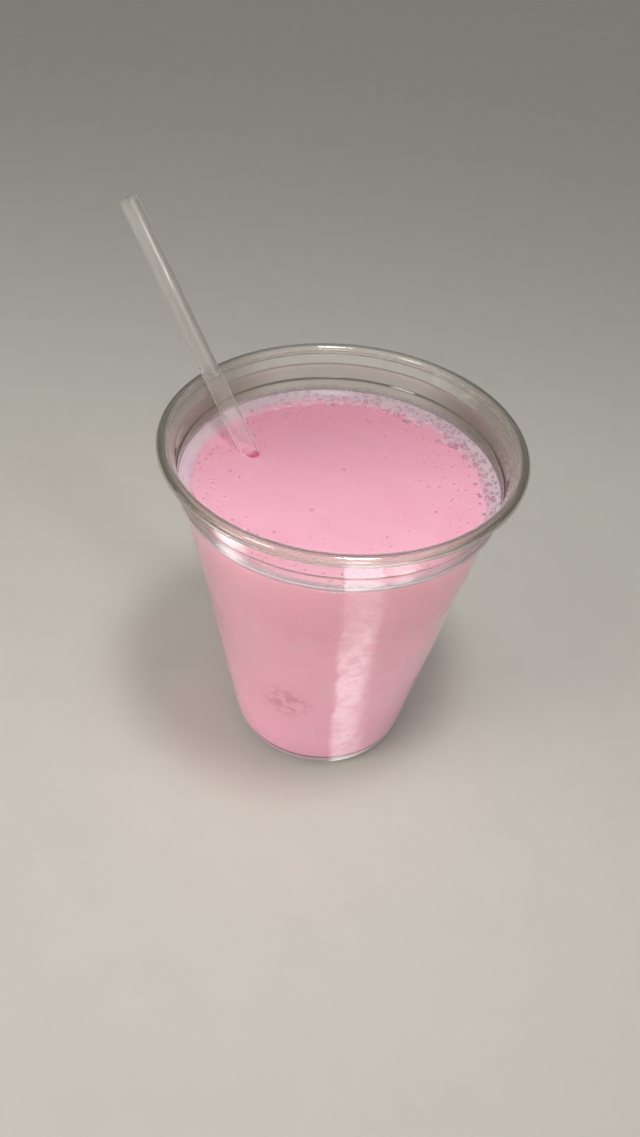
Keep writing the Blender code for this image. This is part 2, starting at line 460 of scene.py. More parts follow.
class Finish:
    """A material whose nodes are added one at a time, with settings first and sockets after."""

    def __init__(self, name):
        self.material = bpy.data.materials.new(name)
        self.material.use_nodes = True
        self.tree = self.material.node_tree
        self.tree.nodes.clear()

    def node(self, kind, settings=None, values=None):
        """One node: a value that is a Wire is linked, any other is set on its socket."""
        node = self.tree.nodes.new("ShaderNode" + kind)
        for key, value in (settings or {}).items():
            setattr(node, key, value)
        for key, value in (values or {}).items():
            if isinstance(value, Wire):
                self.tree.links.new(value.socket, node.inputs[key])
            else:
                node.inputs[key].default_value = value
        return node

    def out(self, kind, settings=None, values=None, output=0):
        """The same, as a Wire from one of the node's outputs."""
        return Wire(self.node(kind, settings, values).outputs[output])

    def place(self):
        """Object coordinates measured from the cup's axis, in millimetres."""
        here = self.out("TexCoord", output="Object")
        shifted = {"Location": (-AXIS_X / MM, 0, 0), "Scale": (1 / MM,) * 3, "Vector": here}
        return self.out("Mapping", values=shifted)

    def noise(self, where, scale, detail=2.0, roughness=0.5):
        """Smooth random values about 0.5, scale waves to each unit of where."""
        values = {"Vector": where, "Scale": scale, "Detail": detail, "Roughness": roughness}
        return self.out("TexNoise", values=values)

    def ramp(self, value, low, high, smooth=True):
        """0 below low and 1 above high, with a soft step between them; low may be above high."""
        kind = {"interpolation_type": "SMOOTHSTEP" if smooth else "LINEAR"}
        values = {"Value": value, "From Min": low, "From Max": high}
        return self.out("MapRange", kind, values)

    def colours(self, factor, first, second):
        """From the first colour where factor is 0 to the second where it is 1."""
        values = {0: factor, 6: first, 7: second}
        return self.out("Mix", {"data_type": "RGBA"}, values, output=2)

    def bump(self, height, strength, distance):
        """The surface's direction, tilted as if height were real relief."""
        values = {"Height": height, "Strength": strength, "Distance": distance}
        return self.out("Bump", values=values)

    def finished(self, shader):
        """The material, with the shader as its surface."""
        self.node("OutputMaterial", values={"Surface": shader})
        return self.material

    def lets_light_by(self, shader, share):
        """The shader, with lamps passing straight through the piece onto what it holds."""
        clear = self.out("BsdfTransparent", values={"Color": (*share, 1)})
        shadow = self.out("LightPath", output="Is Shadow Ray")
        return self.out("MixShader", values={0: shadow, 1: shader, 2: clear})


def band(paint, height, middle, half, soft=0.12):
    """1 within half of a height, both in millimetres, falling to 0 over soft on each side."""
    off = height - middle
    away = off.maths("ABSOLUTE", off)
    return paint.ramp(away, half + soft, half - soft)


def clear_plastic():
    """Thin clear plastic: glossy on the collar, wet in patches and misted on the body.

    The folds of the collar, where the wall is thicker, are drawn as thin brownish lines of
    painted shade, standing in for the dark lines the folds show. The collar is painted darker
    and browner at the left and right, where it is seen edge on, as painted shade, and a
    little hazy near the rim.
    """
    paint = Finish("clear_plastic")
    where = paint.place()
    split = paint.node("SeparateXYZ", values={0: where})
    across, height = Wire(split.outputs[0]), Wire(split.outputs[2])
    slow = paint.noise(where, 0.09, 2.0, 0.5)
    patches = paint.noise(where, 0.22, 5.0, 0.72)
    speckle = paint.noise(where, 1.3, 2.0, 0.6)
    low = paint.ramp(height, 94.0, 91.0)
    upper = low * paint.ramp(height, 74.0, 80.0)
    wet = low * paint.ramp(patches, 0.40, 0.62)
    dots = paint.ramp(speckle, 0.50, 0.62)
    ledge = band(paint, height, SHOULDER_HEIGHT / MM - 0.8, 0.8, 0.4)
    roughness = 0.03 + 0.07 * low + 0.10 * upper + 0.35 * ledge
    uneven = (slow - 0.5) + 0.06 * (patches - 0.5) + 0.03 * (speckle - 0.5)
    normal = paint.bump(low * uneven, 0.5, 1.2 * MM)
    # Painted shade: darker and browner where the collar is seen edge on
    off = across / (COLLAR_RADIUS / MM)
    edge_on_shade = paint.ramp(off.maths("ABSOLUTE", off), 0.40, 0.88)
    edge_on_shade = edge_on_shade * paint.ramp(height, 94.0, 97.0)
    edge_shade_colour = paint.colours(
        paint.ramp(height, 107.4, 108.6), (0.42, 0.385, 0.34, 1), (0.74, 0.71, 0.67, 1)
    )
    colour = paint.colours(edge_on_shade, (0.96, 0.945, 0.92, 1), edge_shade_colour)
    colour = paint.colours(ledge, colour, (0.93, 0.82, 0.80, 1))
    # Painted shade: thin dark lines at the collar's folds
    for middle, half, shade in COLLAR_SHADE_LINES:
        colour = paint.colours(band(paint, height, middle, half), colour, (*shade, 1))
    plastic = paint.out(
        "BsdfPrincipled",
        values={
            "Base Color": colour,
            "Roughness": roughness,
            "Transmission Weight": 1.0,
            "IOR": 1.57,
            "Coat Weight": (wet * (1.0 - 0.6 * upper) + 0.7 * upper * dots).kept(),
            "Coat Roughness": 0.07,
            "Normal": normal,
        },
    )
    # Painted shade: a dark brownish line at the neck fold, mixed in with a little haze near the rim
    neck_shade_line = band(paint, height, NECK_HEIGHT, 0.2)
    dull = paint.out(
        "BsdfPrincipled",
        values={
            "Base Color": paint.colours(neck_shade_line, (0.74, 0.70, 0.64, 1), (0.27, 0.245, 0.21, 1)),
            "Roughness": 0.5,
        },
    )
    inner = paint.ramp(from_axis(paint, where), 47.0, 46.5)
    share = inner * (0.10 * paint.ramp(height, 102.5, 105.5) + 0.45 * neck_shade_line)
    shader = paint.out("MixShader", values={0: share, 1: plastic, 2: dull})
    return paint.finished(paint.lets_light_by(shader, (0.95, 0.94, 0.92)))


def from_axis(paint, where):
    """Distance from the cup's axis in millimetres."""
    flat = paint.out("VectorMath", {"operation": "MULTIPLY"}, {0: where, 1: (1, 1, 0)})
    return paint.out("VectorMath", {"operation": "LENGTH"}, {0: flat}, output="Value")


def ball(paint, where, centre, radius, soft):
    """1 inside a ball round centre (millimetres from the cup's axis) and 0 outside it."""
    values = {0: where, 1: tuple(centre)}
    away = paint.out("VectorMath", {"operation": "DISTANCE"}, values, output="Value")
    return paint.ramp(away, radius + soft, radius - soft)


def spot_on(point):
    """A place in the frame as millimetres from the cup's axis."""
    return (np.array(point) - np.array([AXIS_X, 0, 0])) / MM


def rose_lassi():
    """Milky pink drink, paler and speckled towards the wall. Its top is darker towards the back
    and by the straw's foot as painted shade, with the straw's painted shadow on it and painted
    shade at the straw's entry, where the drink climbs inside the straw.

    Through the wall it is greyer and darker at the shoulder, as painted shade, and paler at the
    foot, as painted light, with a few faint smears low on the left, and a painted dark line of
    shade over a painted pale reflection of the floor round the foot.
    """
    paint = Finish("rose_lassi")
    where = paint.place()
    split = paint.node("SeparateXYZ", values={0: where})
    across, depth, height = (Wire(split.outputs[axis]) for axis in range(3))
    slow = paint.noise(where, 0.045, 2.0, 0.5)
    middling = paint.noise(where, 0.3, 3.0, 0.6)
    fine = paint.noise(where, 1.1, 3.0, 0.65)
    top = paint.colours(paint.ramp(slow, 0.3, 0.7), (*PINK_DEEP, 1), (*PINK_PALE, 1))
    # Painted shade: the top darker towards the back left, and in a patch by the straw's foot
    shade_to_back = paint.ramp(0.97 * depth - 0.20 * across + 14.0 * slow, -14.0, 54.0)
    top = paint.colours(shade_to_back, top, (*PINK_SHADED, 1))
    straw_shade_patch = ball(paint, where, spot_on(on_level((272.0, 414.0))[0]), 5.0, 9.0)
    top = paint.colours(0.35 * straw_shade_patch, top, (*PINK_SHADED, 1))
    edge = paint.ramp(from_axis(paint, where) + 3.0 * fine, 39.5, 45.0)
    top = paint.colours(edge, top, (0.74, 0.47, 0.57, 1))
    speck = paint.ramp(fine, 0.58, 0.72)
    top = paint.colours(0.25 * speck, top, (0.92, 0.62, 0.72, 1))
    # Painted shadow of the straw on the drink's top
    shade = ball(paint, where, spot_on(on_level((223.0, 433.0))[0]), 0.8, 2.6)
    top = paint.colours(0.6 * shade, top, (0.50, 0.26, 0.36, 1))
    # Painted shade at the straw's entry: its faint shadow beside it, and a dark crescent where the
    # drink climbs inside the straw
    entry = spot_on(on_level((252.8, 454.6))[0])
    straw_shadow_beside = ball(paint, where, entry + np.array([-1.9, 1.5, 0.0]), 1.3, 1.3)
    top = paint.colours(0.5 * straw_shadow_beside, top, (0.70, 0.22, 0.34, 1))
    entry_shade_crescent = ball(paint, where, entry, 1.95, 0.35)
    bite = ball(paint, where, entry + np.array([-1.35, 1.0, 0.0]), 1.5, 0.8)
    top = paint.colours((entry_shade_crescent - 0.8 * bite).kept(), top, (0.50, 0.07, 0.155, 1))
    # Painted light and shade through the wall: darker at the shoulder, paler at the foot
    side = paint.colours(
        paint.ramp(height + 14.0 * slow, 82.0, 22.0, smooth=False),
        (*SIDE_SHADED_TOP, 1),
        (*SIDE_LIT_FOOT, 1),
    )
    smear = ball(paint, where, spot_on(on_body((285.0, 702.0))), 6.6, 3.6)
    smear = smear * paint.ramp(middling, 0.42, 0.56)
    side = paint.colours(0.7 * smear, side, (0.64, 0.23, 0.34, 1))
    # A painted dark line of shade, and below it a painted pale reflection of the floor, round the foot
    side = paint.colours(band(paint, height, 6.2, 0.45, 0.3), side, (0.34, 0.16, 0.21, 1))
    side = paint.colours(paint.ramp(height, 5.5, 5.2), side, (0.86, 0.70, 0.74, 1))
    on_top = paint.ramp(height, LEVEL / MM - 0.8, LEVEL / MM - 0.2)
    shader = paint.out(
        "BsdfPrincipled",
        values={
            "Base Color": paint.colours(on_top, side, top),
            "Roughness": 0.42,
            "IOR": 1.35,
            "Normal": paint.bump(fine * on_top, 0.2, 0.2 * MM),
        },
    )
    return paint.finished(shader)


def bubbly_side(paint, where):
    """1 at the back right of the cup, where the bubbles are, and 0 at the front left."""
    values = {0: where, 1: (0.6, 0.8, 0.0)}
    towards = paint.out("VectorMath", {"operation": "DOT_PRODUCT"}, values, output="Value")
    return paint.ramp(towards / from_axis(paint, where), 0.0, 0.5)


def froth_paint():
    """Pale froth that turns to the drink's pink at its inner edge, speckled on one side, and darker
    towards the back as painted shade.
    """
    paint = Finish("froth")
    where = paint.place()
    speckled = bubbly_side(paint, where)
    soft = paint.noise(where, 0.25, 3.0, 0.6)
    fine = paint.noise(where, 0.55, 3.0, 0.65)
    depth = paint.out("SeparateXYZ", values={0: where}, output=1)
    out = paint.ramp(from_axis(paint, where) + 5.0 * (fine - 0.5), 39.0, 42.6)
    smooth = paint.colours(soft, (0.60, 0.46, 0.52, 1), (0.70, 0.55, 0.61, 1))
    cell = paint.out("TexVoronoi", values={"Vector": where, "Scale": 0.6}, output="Distance")
    skins = paint.ramp(cell, 0.2, 0.62)
    pale = paint.ramp(0.4 * fine + 0.45 * skins, 0.24, 0.52)
    rough = paint.colours(pale, (0.36, 0.245, 0.305, 1), (0.60, 0.48, 0.535, 1))
    colour = paint.colours(speckled, smooth, rough)
    # Painted shade: the froth darker towards the back
    back = paint.ramp(depth, -10.0, 40.0)
    colour = paint.colours(0.62 * back, colour, (0.34, 0.26, 0.28, 1))
    colour = paint.colours(out, (0.66, 0.31, 0.405, 1), colour)
    shader = paint.out(
        "BsdfPrincipled",
        values={
            "Base Color": colour,
            "Roughness": 0.35,
            "IOR": 1.35,
            "Normal": paint.bump(fine * speckled, 0.25, 0.3 * MM),
        },
    )
    return paint.finished(shader)


def film_paint():
    """A thin film of milk left on the wall: ragged at its top edge, greyish lilac."""
    paint = Finish("milk_film")
    where = paint.place()
    height = paint.out("SeparateXYZ", values={0: where}, output=2)
    ragged = paint.noise(where, 0.35, 4.0, 0.65)
    specks = paint.noise(where, 1.4, 2.0, 0.7)
    above = height - (96.9 + 1.8 * ragged)
    cover = paint.ramp(above, 0.6, -1.8) * (0.45 + 0.5 * specks)
    tint = paint.colours(
        bubbly_side(paint, where), (0.52, 0.44, 0.47, 1), (0.30, 0.275, 0.275, 1)
    )
    shader = paint.out(
        "BsdfPrincipled",
        values={"Base Color": tint, "Roughness": 0.3, "Alpha": (0.85 * cover).kept()},
    )
    return paint.finished(shader)


def bubble_paint(name, middle, rim_reflection, see_middle, see_rim):
    """Clear bubbles: a dark colour in the middle as painted shade of the hollow under the film, and a
    paler one where they turn away as a painted reflection.
    """
    paint = Finish(name)
    facing = paint.out("LayerWeight", values={"Blend": 0.4}, output="Facing")
    turned_away = paint.ramp(facing, 0.3, 0.85)
    shader = paint.out(
        "BsdfPrincipled",
        values={
            "Base Color": paint.colours(turned_away, (*middle, 1), (*rim_reflection, 1)),
            "Roughness": 0.15,
            "Alpha": (see_middle + (see_rim - see_middle) * turned_away).kept(),
        },
    )
    return paint.finished(shader)


def drop_glints():
    """Tiny drops, wet all over, painted pale as glints of light."""
    paint = Finish("drop_glints")
    cloud = paint.noise(paint.place(), 2.0)
    return paint.finished(
        paint.out(
            "BsdfPrincipled",
            values={
                "Base Color": paint.colours(cloud, (0.90, 0.68, 0.74, 1), (0.96, 0.80, 0.84, 1)),
                "Roughness": 0.15,
                "Alpha": 0.75,
            },
        )
    )


def straw_plastic():
    """Clear straw with a painted pale reflection at its edges, dry and cloudy above the rim with faint
    long streaks.
    """
    paint = Finish("straw_plastic")
    height = paint.out("SeparateXYZ", values={0: paint.place()}, output=2)
    cloudy = paint.ramp(height, 111.0, 114.5)
    streak = paint.ramp(height, 127.0, 134.0) * paint.ramp(height, 147.0, 140.0)
    along = paint.out("UVMap", {"uv_map": "UVMap"})
    stretched = paint.out("Mapping", values={"Vector": along, "Scale": (40.0, 3.0, 1.0)})
    streaks = paint.noise(stretched, 1.0, 2.0, 0.5)
    body = paint.out(
        "BsdfPrincipled",
        values={
            "Base Color": paint.colours(cloudy, (0.99, 0.98, 0.97, 1), (0.80, 0.79, 0.745, 1)),
            "Roughness": 0.03 + 0.07 * streaks + 0.42 * cloudy,
            "Coat Weight": 0.22 * streak,
            "Coat Roughness": 0.04,
            "Transmission Weight": 1.0,
            "IOR": 1.49,
            "Normal": paint.bump(streaks, 0.1, 0.1 * MM),
        },
    )
    # Painted reflection: the straw paler where it turns away at its edges
    facing = paint.out("LayerWeight", values={"Blend": 0.5}, output="Facing")
    edge = paint.ramp(facing, 0.6, 0.86) * (0.72 - 0.64 * cloudy) + 0.03 * (1.0 - cloudy)
    edge_reflection = paint.out(
        "BsdfPrincipled", values={"Base Color": (0.84, 0.78, 0.76, 1), "Roughness": 0.4}
    )
    shader = paint.out("MixShader", values={0: edge, 1: body, 2: edge_reflection})
    return paint.finished(paint.lets_light_by(shader, (0.72, 0.70, 0.70)))


def pale_floor():
    """Matt warm white ground with a faint uneven tone."""
    paint = Finish("pale_floor")
    where = paint.out("TexCoord", output="Object")
    fine = paint.noise(where, 60.0, 2.0, 0.5)
    colour = paint.colours(fine, (0.66, 0.635, 0.575, 1), (0.70, 0.675, 0.61, 1))
    return paint.finished(
        paint.out(
            "BsdfPrincipled",
            values={"Base Color": colour, "Roughness": 1.0, "Specular IOR Level": 0.0},
        )
    )


def dressed(piece, material, slot, *nodes):
    """Gives a piece its material, hangs it on the frame's root, and hides the CAD parts it takes the
    place of.
    """
    piece.data.materials.append(material)
    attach(piece, "root")
    if nodes:
        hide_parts(*nodes)
    return piece


# Cup


def make_cup_wall():
    """The cup's section turned about its axis, with a slow ripple in the thin wall."""
    section = with_steps(cup_section(), 2.2 * MM)
    angles = around(CUP_COLUMNS)
    height = section[:, 1:] * np.ones(len(angles))
    radius = section[:, :1] + ripple(angles, height) * (section[:, :1] > 20 * MM)
    return turned("cup_wall", radius, height, angles)


# Drink

SURFACE_WAVES = [
    (chance.uniform(7, 22), chance.uniform(0, 2 * math.pi), chance.uniform(0, 2 * math.pi))
    for _ in range(26)
]


def relief(x, y):
    """Gentle swell of the drink's top: the sum of plane waves 7 to 22 mm long."""
    rise = np.zeros(np.broadcast(x, y).shape)
    for length, heading, phase in SURFACE_WAVES:
        along = (x * math.cos(heading) + y * math.sin(heading)) / MM
        rise = rise + np.sin(2 * math.pi * along / length + phase)
    return 0.012 * MM * rise


def straw_gap(x, y, height=LEVEL):
    """How far a point on the drink's top is from the straw's outer face."""
    offset = np.stack([x - STRAW_CROSSING[0], y - STRAW_CROSSING[1]], axis=-1)
    offset = np.concatenate([offset, np.full(x.shape + (1,), height - STRAW_CROSSING[2])], -1)
    return np.linalg.norm(np.cross(offset, STRAW_LINE), axis=-1) - STRAW_RADIUS


def climb(gap, height, reach):
    """How far a liquid climbs beside a wall: height * e to the power of minus gap / reach."""
    return height * np.exp(-np.clip(gap, 0, None) / reach)


def wall_radius(height, clearance=0.0):
    """Radius of the cup's inner face, moved in by clearance, at a height."""
    line = inside_line(clearance)
    above = line[len(line) // 4 :]
    return np.interp(height, above[:, 1], above[:, 0])


def drink_top(x, y):
    """Height of the drink's top: level, swell, and a climb at the wall and at the straw."""
    radius = np.hypot(x - AXIS_X, y)
    edge = wall_radius(LEVEL)
    swell = relief(x, y) * np.clip((edge - radius) / (4 * MM), 0, 1)
    up = climb(edge - radius, 0.55 * MM, 0.8 * MM)
    up = up + climb(straw_gap(x, y), 0.35 * MM, 0.6 * MM)
    return LEVEL + swell + up


def make_lassi():
    """Rows of the grid run from the middle of the top to the wall, down it and back below."""
    angles = around(LASSI_COLUMNS)
    into_wall = -LASSI_INTO_WALL
    line = inside_line(into_wall)
    side = with_steps(line[line[:, 1] < LEVEL - 0.2 * MM][::-1], 1.25 * MM)
    edge = wall_radius(LEVEL + 0.5 * MM, into_wall)
    share = np.linspace(0, 1, LASSI_TOP_ROWS)
    out = edge * (1 - (1 - share) ** 1.25)
    radius_top = out[:, None] * np.ones(len(angles))
    height_top = drink_top(AXIS_X + radius_top * np.cos(angles), radius_top * np.sin(angles))
    height_side = side[:, 1:] * np.ones(len(angles))
    radius_side = side[:, :1] + ripple(angles, height_side) * (side[:, :1] > 20 * MM)
    radius = np.concatenate([radius_top, radius_side])
    height = np.concatenate([height_top, height_side])
    return turned("lassi", radius, height, angles)


def make_froth_ring():
    """A ring that lies on the drink at the wall and runs up it, hollow on its top side.

    Its section's top falls from the wall to its inner edge as (1 - share) to the power
    FROTH_FALL, its width swings round the cup as a sum of sines, and fine bumps are
    added. Its outer side follows the wall.
    """
    angles = around(FROTH_COLUMNS)
    swing = 0.5 * np.sin(2 * angles + 0.4) + 0.3 * np.sin(5 * angles) + 0.2 * np.sin(11 * angles)
    width = (3.0 + 0.9 * swing + 1.7 * np.exp(-(((angles - 2.15) / 0.4) ** 2))) * MM
    foot = LEVEL - 0.1 * MM
    into_wall = -FROTH_INTO_WALL
    top = wall_radius(FROTH_TOP, into_wall)
    corner = wall_radius(foot, into_wall)
    share = np.linspace(0, 1, FROTH_ROWS)[:, None]
    radius_top = top - share * (width + top - corner)
    bumps = np.sin(41 * angles + 60 * share) * np.sin(23 * angles + 17 * share)
    height_top = foot + (FROTH_TOP - foot) * (1 - share) ** FROTH_FALL
    crown = np.sin(math.pi * np.clip(share, 0, 1)) ** 0.7
    height_top = height_top + (0.25 + 0.12 * bumps) * MM * crown
    line = inside_line(into_wall)
    side = line[(line[:, 1] > foot + 0.05 * MM) & (line[:, 1] < FROTH_TOP - 0.1 * MM)]
    side = np.concatenate([[[corner, foot]], side])[:, :, None] * np.ones(FROTH_COLUMNS)
    radius = np.concatenate([side[:, 0], radius_top])
    height = np.concatenate([side[:, 1], height_top])
    x = AXIS_X + radius * np.cos(angles)
    grid = np.stack([x, radius * np.sin(angles), height], axis=-1).reshape(-1, 3)
    faces = ring_faces(len(radius), FROTH_COLUMNS, close_rows=True)
    return new_piece("froth_ring", grid, faces.tolist())


def make_milk_film():
    """A thin closed shell that follows the inner wall from the drink up past the froth."""
    angles = around(FILM_COLUMNS)
    height = np.linspace(LEVEL - 0.3 * MM, FILM_TOP, FILM_ROWS)
    outer = wall_radius(height, FILM_OUTER)
    inner = wall_radius(height, FILM_INNER)
    radius = np.concatenate([outer, inner[::-1]])[:, None] * np.ones(FILM_COLUMNS)
    heights = np.concatenate([height, height[::-1]])[:, None] * np.ones(FILM_COLUMNS)
    x = AXIS_X + radius * np.cos(angles)
    grid = np.stack([x, radius * np.sin(angles), heights], axis=-1).reshape(-1, 3)
    faces = ring_faces(2 * FILM_ROWS, FILM_COLUMNS, close_rows=True)
    return new_piece("milk_film", grid, faces.tolist())


# Bubbles and mounds of foam seen one by one: (across, down, radius) in the photograph's pixels
LARGE_BUBBLES = [
    (446.6, 437.0, 3.0), (452.0, 443.8, 3.6), (397, 413, 3.3), (388.5, 410, 2.0),
    (406.8, 420.2, 2.2), (426, 420.6, 2.2), (432.7, 419.7, 2.4), (445.6, 426, 2.2), (442.5, 428.7, 2.4),
    (453.7, 429.6, 2.4), (462, 437, 2.0), (464.8, 446.5, 3.2), (465.3, 456.3, 2.6),
    (472.4, 455.4, 1.8), (472.9, 459.5, 1.6), (476, 464.4, 2.2), (469.7, 465.7, 1.4),
    (480.4, 473.8, 1.8), (487, 474.6, 1.8), (475.5, 482.7, 1.5), (486.3, 489.4, 2.2),
    (478.7, 493.4, 1.4), (487, 496, 1.8), (438, 440, 2.2), (456, 447, 2.0),
]
FOAM_MOUNDS = [
    (448.3, 439.8, 8.0), (397, 413, 6.0), (384, 407, 5.0), (410, 418, 5.0), (428, 422, 6.0),
    (440, 430, 5.5), (459, 434, 5.5), (463, 449, 6.0), (471, 460, 5.0), (477, 470, 4.5),
    (481, 483, 4.5), (484, 494, 4.0), (370, 405, 4.0), (355, 403, 4.0), (329, 402, 4.5),
    (308, 403, 4.5), (290, 405, 4.5), (276, 408, 4.0), (341, 403, 3.5), (418, 423, 4.0),
]

# Small ones, and below drops on the wall: (across, down) in the photograph's pixels
SMALL_BUBBLES = [
    (197.4, 455), (210.6, 454.2), (205.7, 458.7), (231, 470.5), (246, 517), (274, 532),
    (312, 510), (344.6, 469.6), (385.8, 457.7), (424, 462.6), (452, 466.6), (458.6, 471),
    (420, 481), (429, 487), (439, 487), (435.7, 512), (445, 478), (454, 484), (449, 508),
]

# Size of the drink's top in the photograph, for the radii above
PIXELS_PER_METRE = 3630.0


def on_top(points):
    """The same points brought just above the drink's top."""
    points = np.array(points)
    points[:, 2] = drink_top(points[:, 0], points[:, 1]) + ABOVE_TOP
    return points


def upright(count):
    """The upward direction, once for each of count domes."""
    return np.tile([0.0, 0.0, 1.0], (count, 1))


def make_large_bubbles():
    """The bubbles that stand out in the photograph, as caps of balls on the drink's top."""
    marks = np.array(LARGE_BUBBLES)
    centres = on_top(on_level(marks[:, :2], LEVEL + 0.5 * MM))
    sizes = LARGE_GROWTH * marks[:, 2] / PIXELS_PER_METRE
    return scattered("large_bubbles", centres, sizes, upright(len(marks)), 0.7, 6, 20)


def make_foam_mounds():
    """Low pale patches of foam that make the froth's inner edge uneven."""
    marks = np.array(FOAM_MOUNDS)
    centres = on_top(on_level(marks[:, :2], LEVEL + 0.2 * MM))
    sizes = marks[:, 2] / PIXELS_PER_METRE
    return scattered("foam_mounds", centres, sizes, upright(len(marks)), 0.16, 6, 24)


# Drops on the wall, whose pale paint stands for glints
WALL_DROPS = [
    (327, 591.5), (331, 592.0), (335, 592.4), (339, 592.6), (343, 592.7), (322, 591.0),
    (301, 622), (258, 731), (263, 738), (268.7, 667.2),
]


def make_wall_drops():
    """Tiny drops on the outside of the cup, flattened along the wall."""
    centres = np.array([on_body(pixel) for pixel in WALL_DROPS])
    ups = centres - [AXIS_X, 0, 0]
    ups[:, 2] = -BODY_SLOPE * np.hypot(ups[:, 0], ups[:, 1])
    ups /= np.linalg.norm(ups, axis=1)[:, None]
    sizes = chance.uniform(0.28, 0.5, len(centres)) * MM
    return scattered("wall_drops", centres - 0.05 * MM * ups, sizes, ups, 0.5, 5, 16)


def make_small_bubbles():
    """Flat tiny pits on the drink's top: the marked ones, and more crowded to the wall.

    The others' distance from the axis is 42 mm minus the size of a normal draw.
    """
    placed = on_top(on_level(SMALL_BUBBLES))
    angle = chance.uniform(0, 2 * math.pi, SMALL_COUNT)
    radius = (42.0 - np.abs(chance.normal(0, 7.5, SMALL_COUNT))) * MM
    more = np.stack([AXIS_X + radius * np.cos(angle), radius * np.sin(angle), radius], -1)
    centres = np.concatenate([placed, on_top(more)])
    sizes = np.concatenate(
        [chance.uniform(0.45, 0.65, len(placed)), chance.uniform(0.18, 0.40, SMALL_COUNT)]
    )
    return scattered("small_bubbles", centres, sizes * MM, upright(len(centres)), 0.14, 3, 12)


def make_froth_bubbles():
    """Bubbles along the back and right edge, crowded at the wall and rarer further in."""
    count = FROTH_COUNT
    crowd = chance.choice([5.0, 30.0, 60.0, 90.0], count)
    angle = np.radians(crowd + chance.normal(0, 15, count))
    inward = np.abs(chance.normal(2.4, 1.3, count)) * MM
    edge = wall_radius(LEVEL + 1.0 * MM)
    radius = edge - inward - 0.1 * MM
    share = np.clip(inward / FROTH_SPREAD, 0, 1)
    height = LEVEL + 0.05 * MM + (FROTH_TOP - LEVEL) * (1 - share) ** FROTH_FALL
    centres = np.stack([AXIS_X + radius * np.cos(angle), radius * np.sin(angle), height], -1)
    sizes = np.clip(chance.lognormal(-0.65, 0.35, count), 0.25, 0.9) * MM
    tilt = (1 - share) * 0.6
    ups = np.stack([-np.cos(angle) * tilt, -np.sin(angle) * tilt, np.ones(count)], -1)
    ups /= np.linalg.norm(ups, axis=1)[:, None]
    return scattered("froth_bubbles", centres, sizes, ups, 0.45, 5, 16)


def make_straw_tube():
    """A closed rectangle (wall by length) turned about the straw's line, its ends cut square."""
    sides, rows = STRAW_COLUMNS, STRAW_ROWS
    angles = around(sides)
    along = np.linspace(-STRAW_BELOW_RIM, STRAW_ABOVE_RIM, rows)
    outer = np.full(rows, STRAW_RADIUS)
    outer[[0, -1]] -= STRAW_LIP
    inner = np.full(rows, STRAW_RADIUS - STRAW_WALL)
    inner[[0, -1]] += STRAW_LIP
    radius = np.concatenate([outer, inner])
    reach = np.concatenate([along, along[::-1]])
    across = np.cross([0.0, 0.0, 1.0], STRAW_LINE)
    across /= np.linalg.norm(across)
    other = np.cross(STRAW_LINE, across)
    grid = STRAW_CROSSING + reach[:, None, None] * STRAW_LINE
    grid = grid + radius[:, None, None] * (
        np.cos(angles)[None, :, None] * across + np.sin(angles)[None, :, None] * other
    )
    faces = ring_faces(2 * rows, sides, close_rows=True)
    made = new_piece("straw_tube", grid.reshape(-1, 3), faces.tolist())
    mesh = made.data
    corner = np.zeros(len(mesh.loops), int)
    mesh.loops.foreach_get("vertex_index", corner)
    turn = (corner % sides) / sides
    turn = np.abs(2 * turn - 1)
    length = reach[corner // sides] / (STRAW_ABOVE_RIM + STRAW_BELOW_RIM)
    mesh.uv_layers.new(name="UVMap").data.foreach_set("uv", np.stack([turn, length], -1).ravel())
    return made


# Stage

# The patch of light on the floor in front that the cup mirrors, as seen from above: its left
# and right edges are start + slope * distance, and its strength has a bright far part
CARD_HEIGHT = 0.3 * MM
CARD_BOX = (4 * MM, 240 * MM, -280 * MM, -12 * MM)
CARD_STRENGTH = 5.2
LEFT_EDGE = (9.0, 0.19, 26.0)
RIGHT_EDGE = (6.0, 0.83)
NEAR_SHARE = 0.295
MIDDLE_SHARE = 0.205
GLOW_SPOTS = [
    ("left_glow", (-134 * MM, -64 * MM), 46 * MM, 7.5),
    ("right_glow", (112 * MM, -110 * MM), 30 * MM, 5.0),
]

# Sky: colour, where its strength rises (height of the direction) and from what to what
SKY_COLOUR = (0.98, 0.99, 1.0, 1)
SKY_RISE = (0.15, 0.7)
SKY_STRENGTH = (0.10, 0.34)

# Lamps: name, place, target, size, power, colour, and whether gloss mirrors them
WHITE = (1, 1, 1)
AT_TOP = (0.0, 0.0, 0.09)
AT_BODY = (0.0, 0.0, 0.03)
LAMPS = [
    ("key", (0.04, -0.06, 0.33), AT_TOP, (0.05, 0.05), 0.345, WHITE, True),
    ("second", (-0.19, -0.19, 0.36), AT_TOP, (0.09, 0.09), 0.20, (1.0, 0.96, 0.86), True),
    ("fill", (0.02, -0.55, 0.24), AT_BODY, (0.50, 0.30), 0.20, WHITE, False),
    ("low_fill", (0.02, -0.95, 0.07), AT_BODY, (0.80, 0.30), 1.82, WHITE, False),
    ("left", (-0.55, -0.12, 0.18), AT_BODY, (0.40, 0.30), 1.1, WHITE, False),
    ("right", (0.55, -0.12, 0.18), AT_BODY, (0.40, 0.30), 0.46, WHITE, False),
]


def make_floor():
    """A flat square of ground, 2 * edge wide, under the cup."""
    edge = 3.0
    corners = [(-edge, -edge, 0), (edge, -edge, 0), (edge, edge, 0), (-edge, edge, 0)]
    floor = new_piece("floor", corners, [(0, 1, 2, 3)], closed=False)
    floor.data.materials.append(pale_floor())


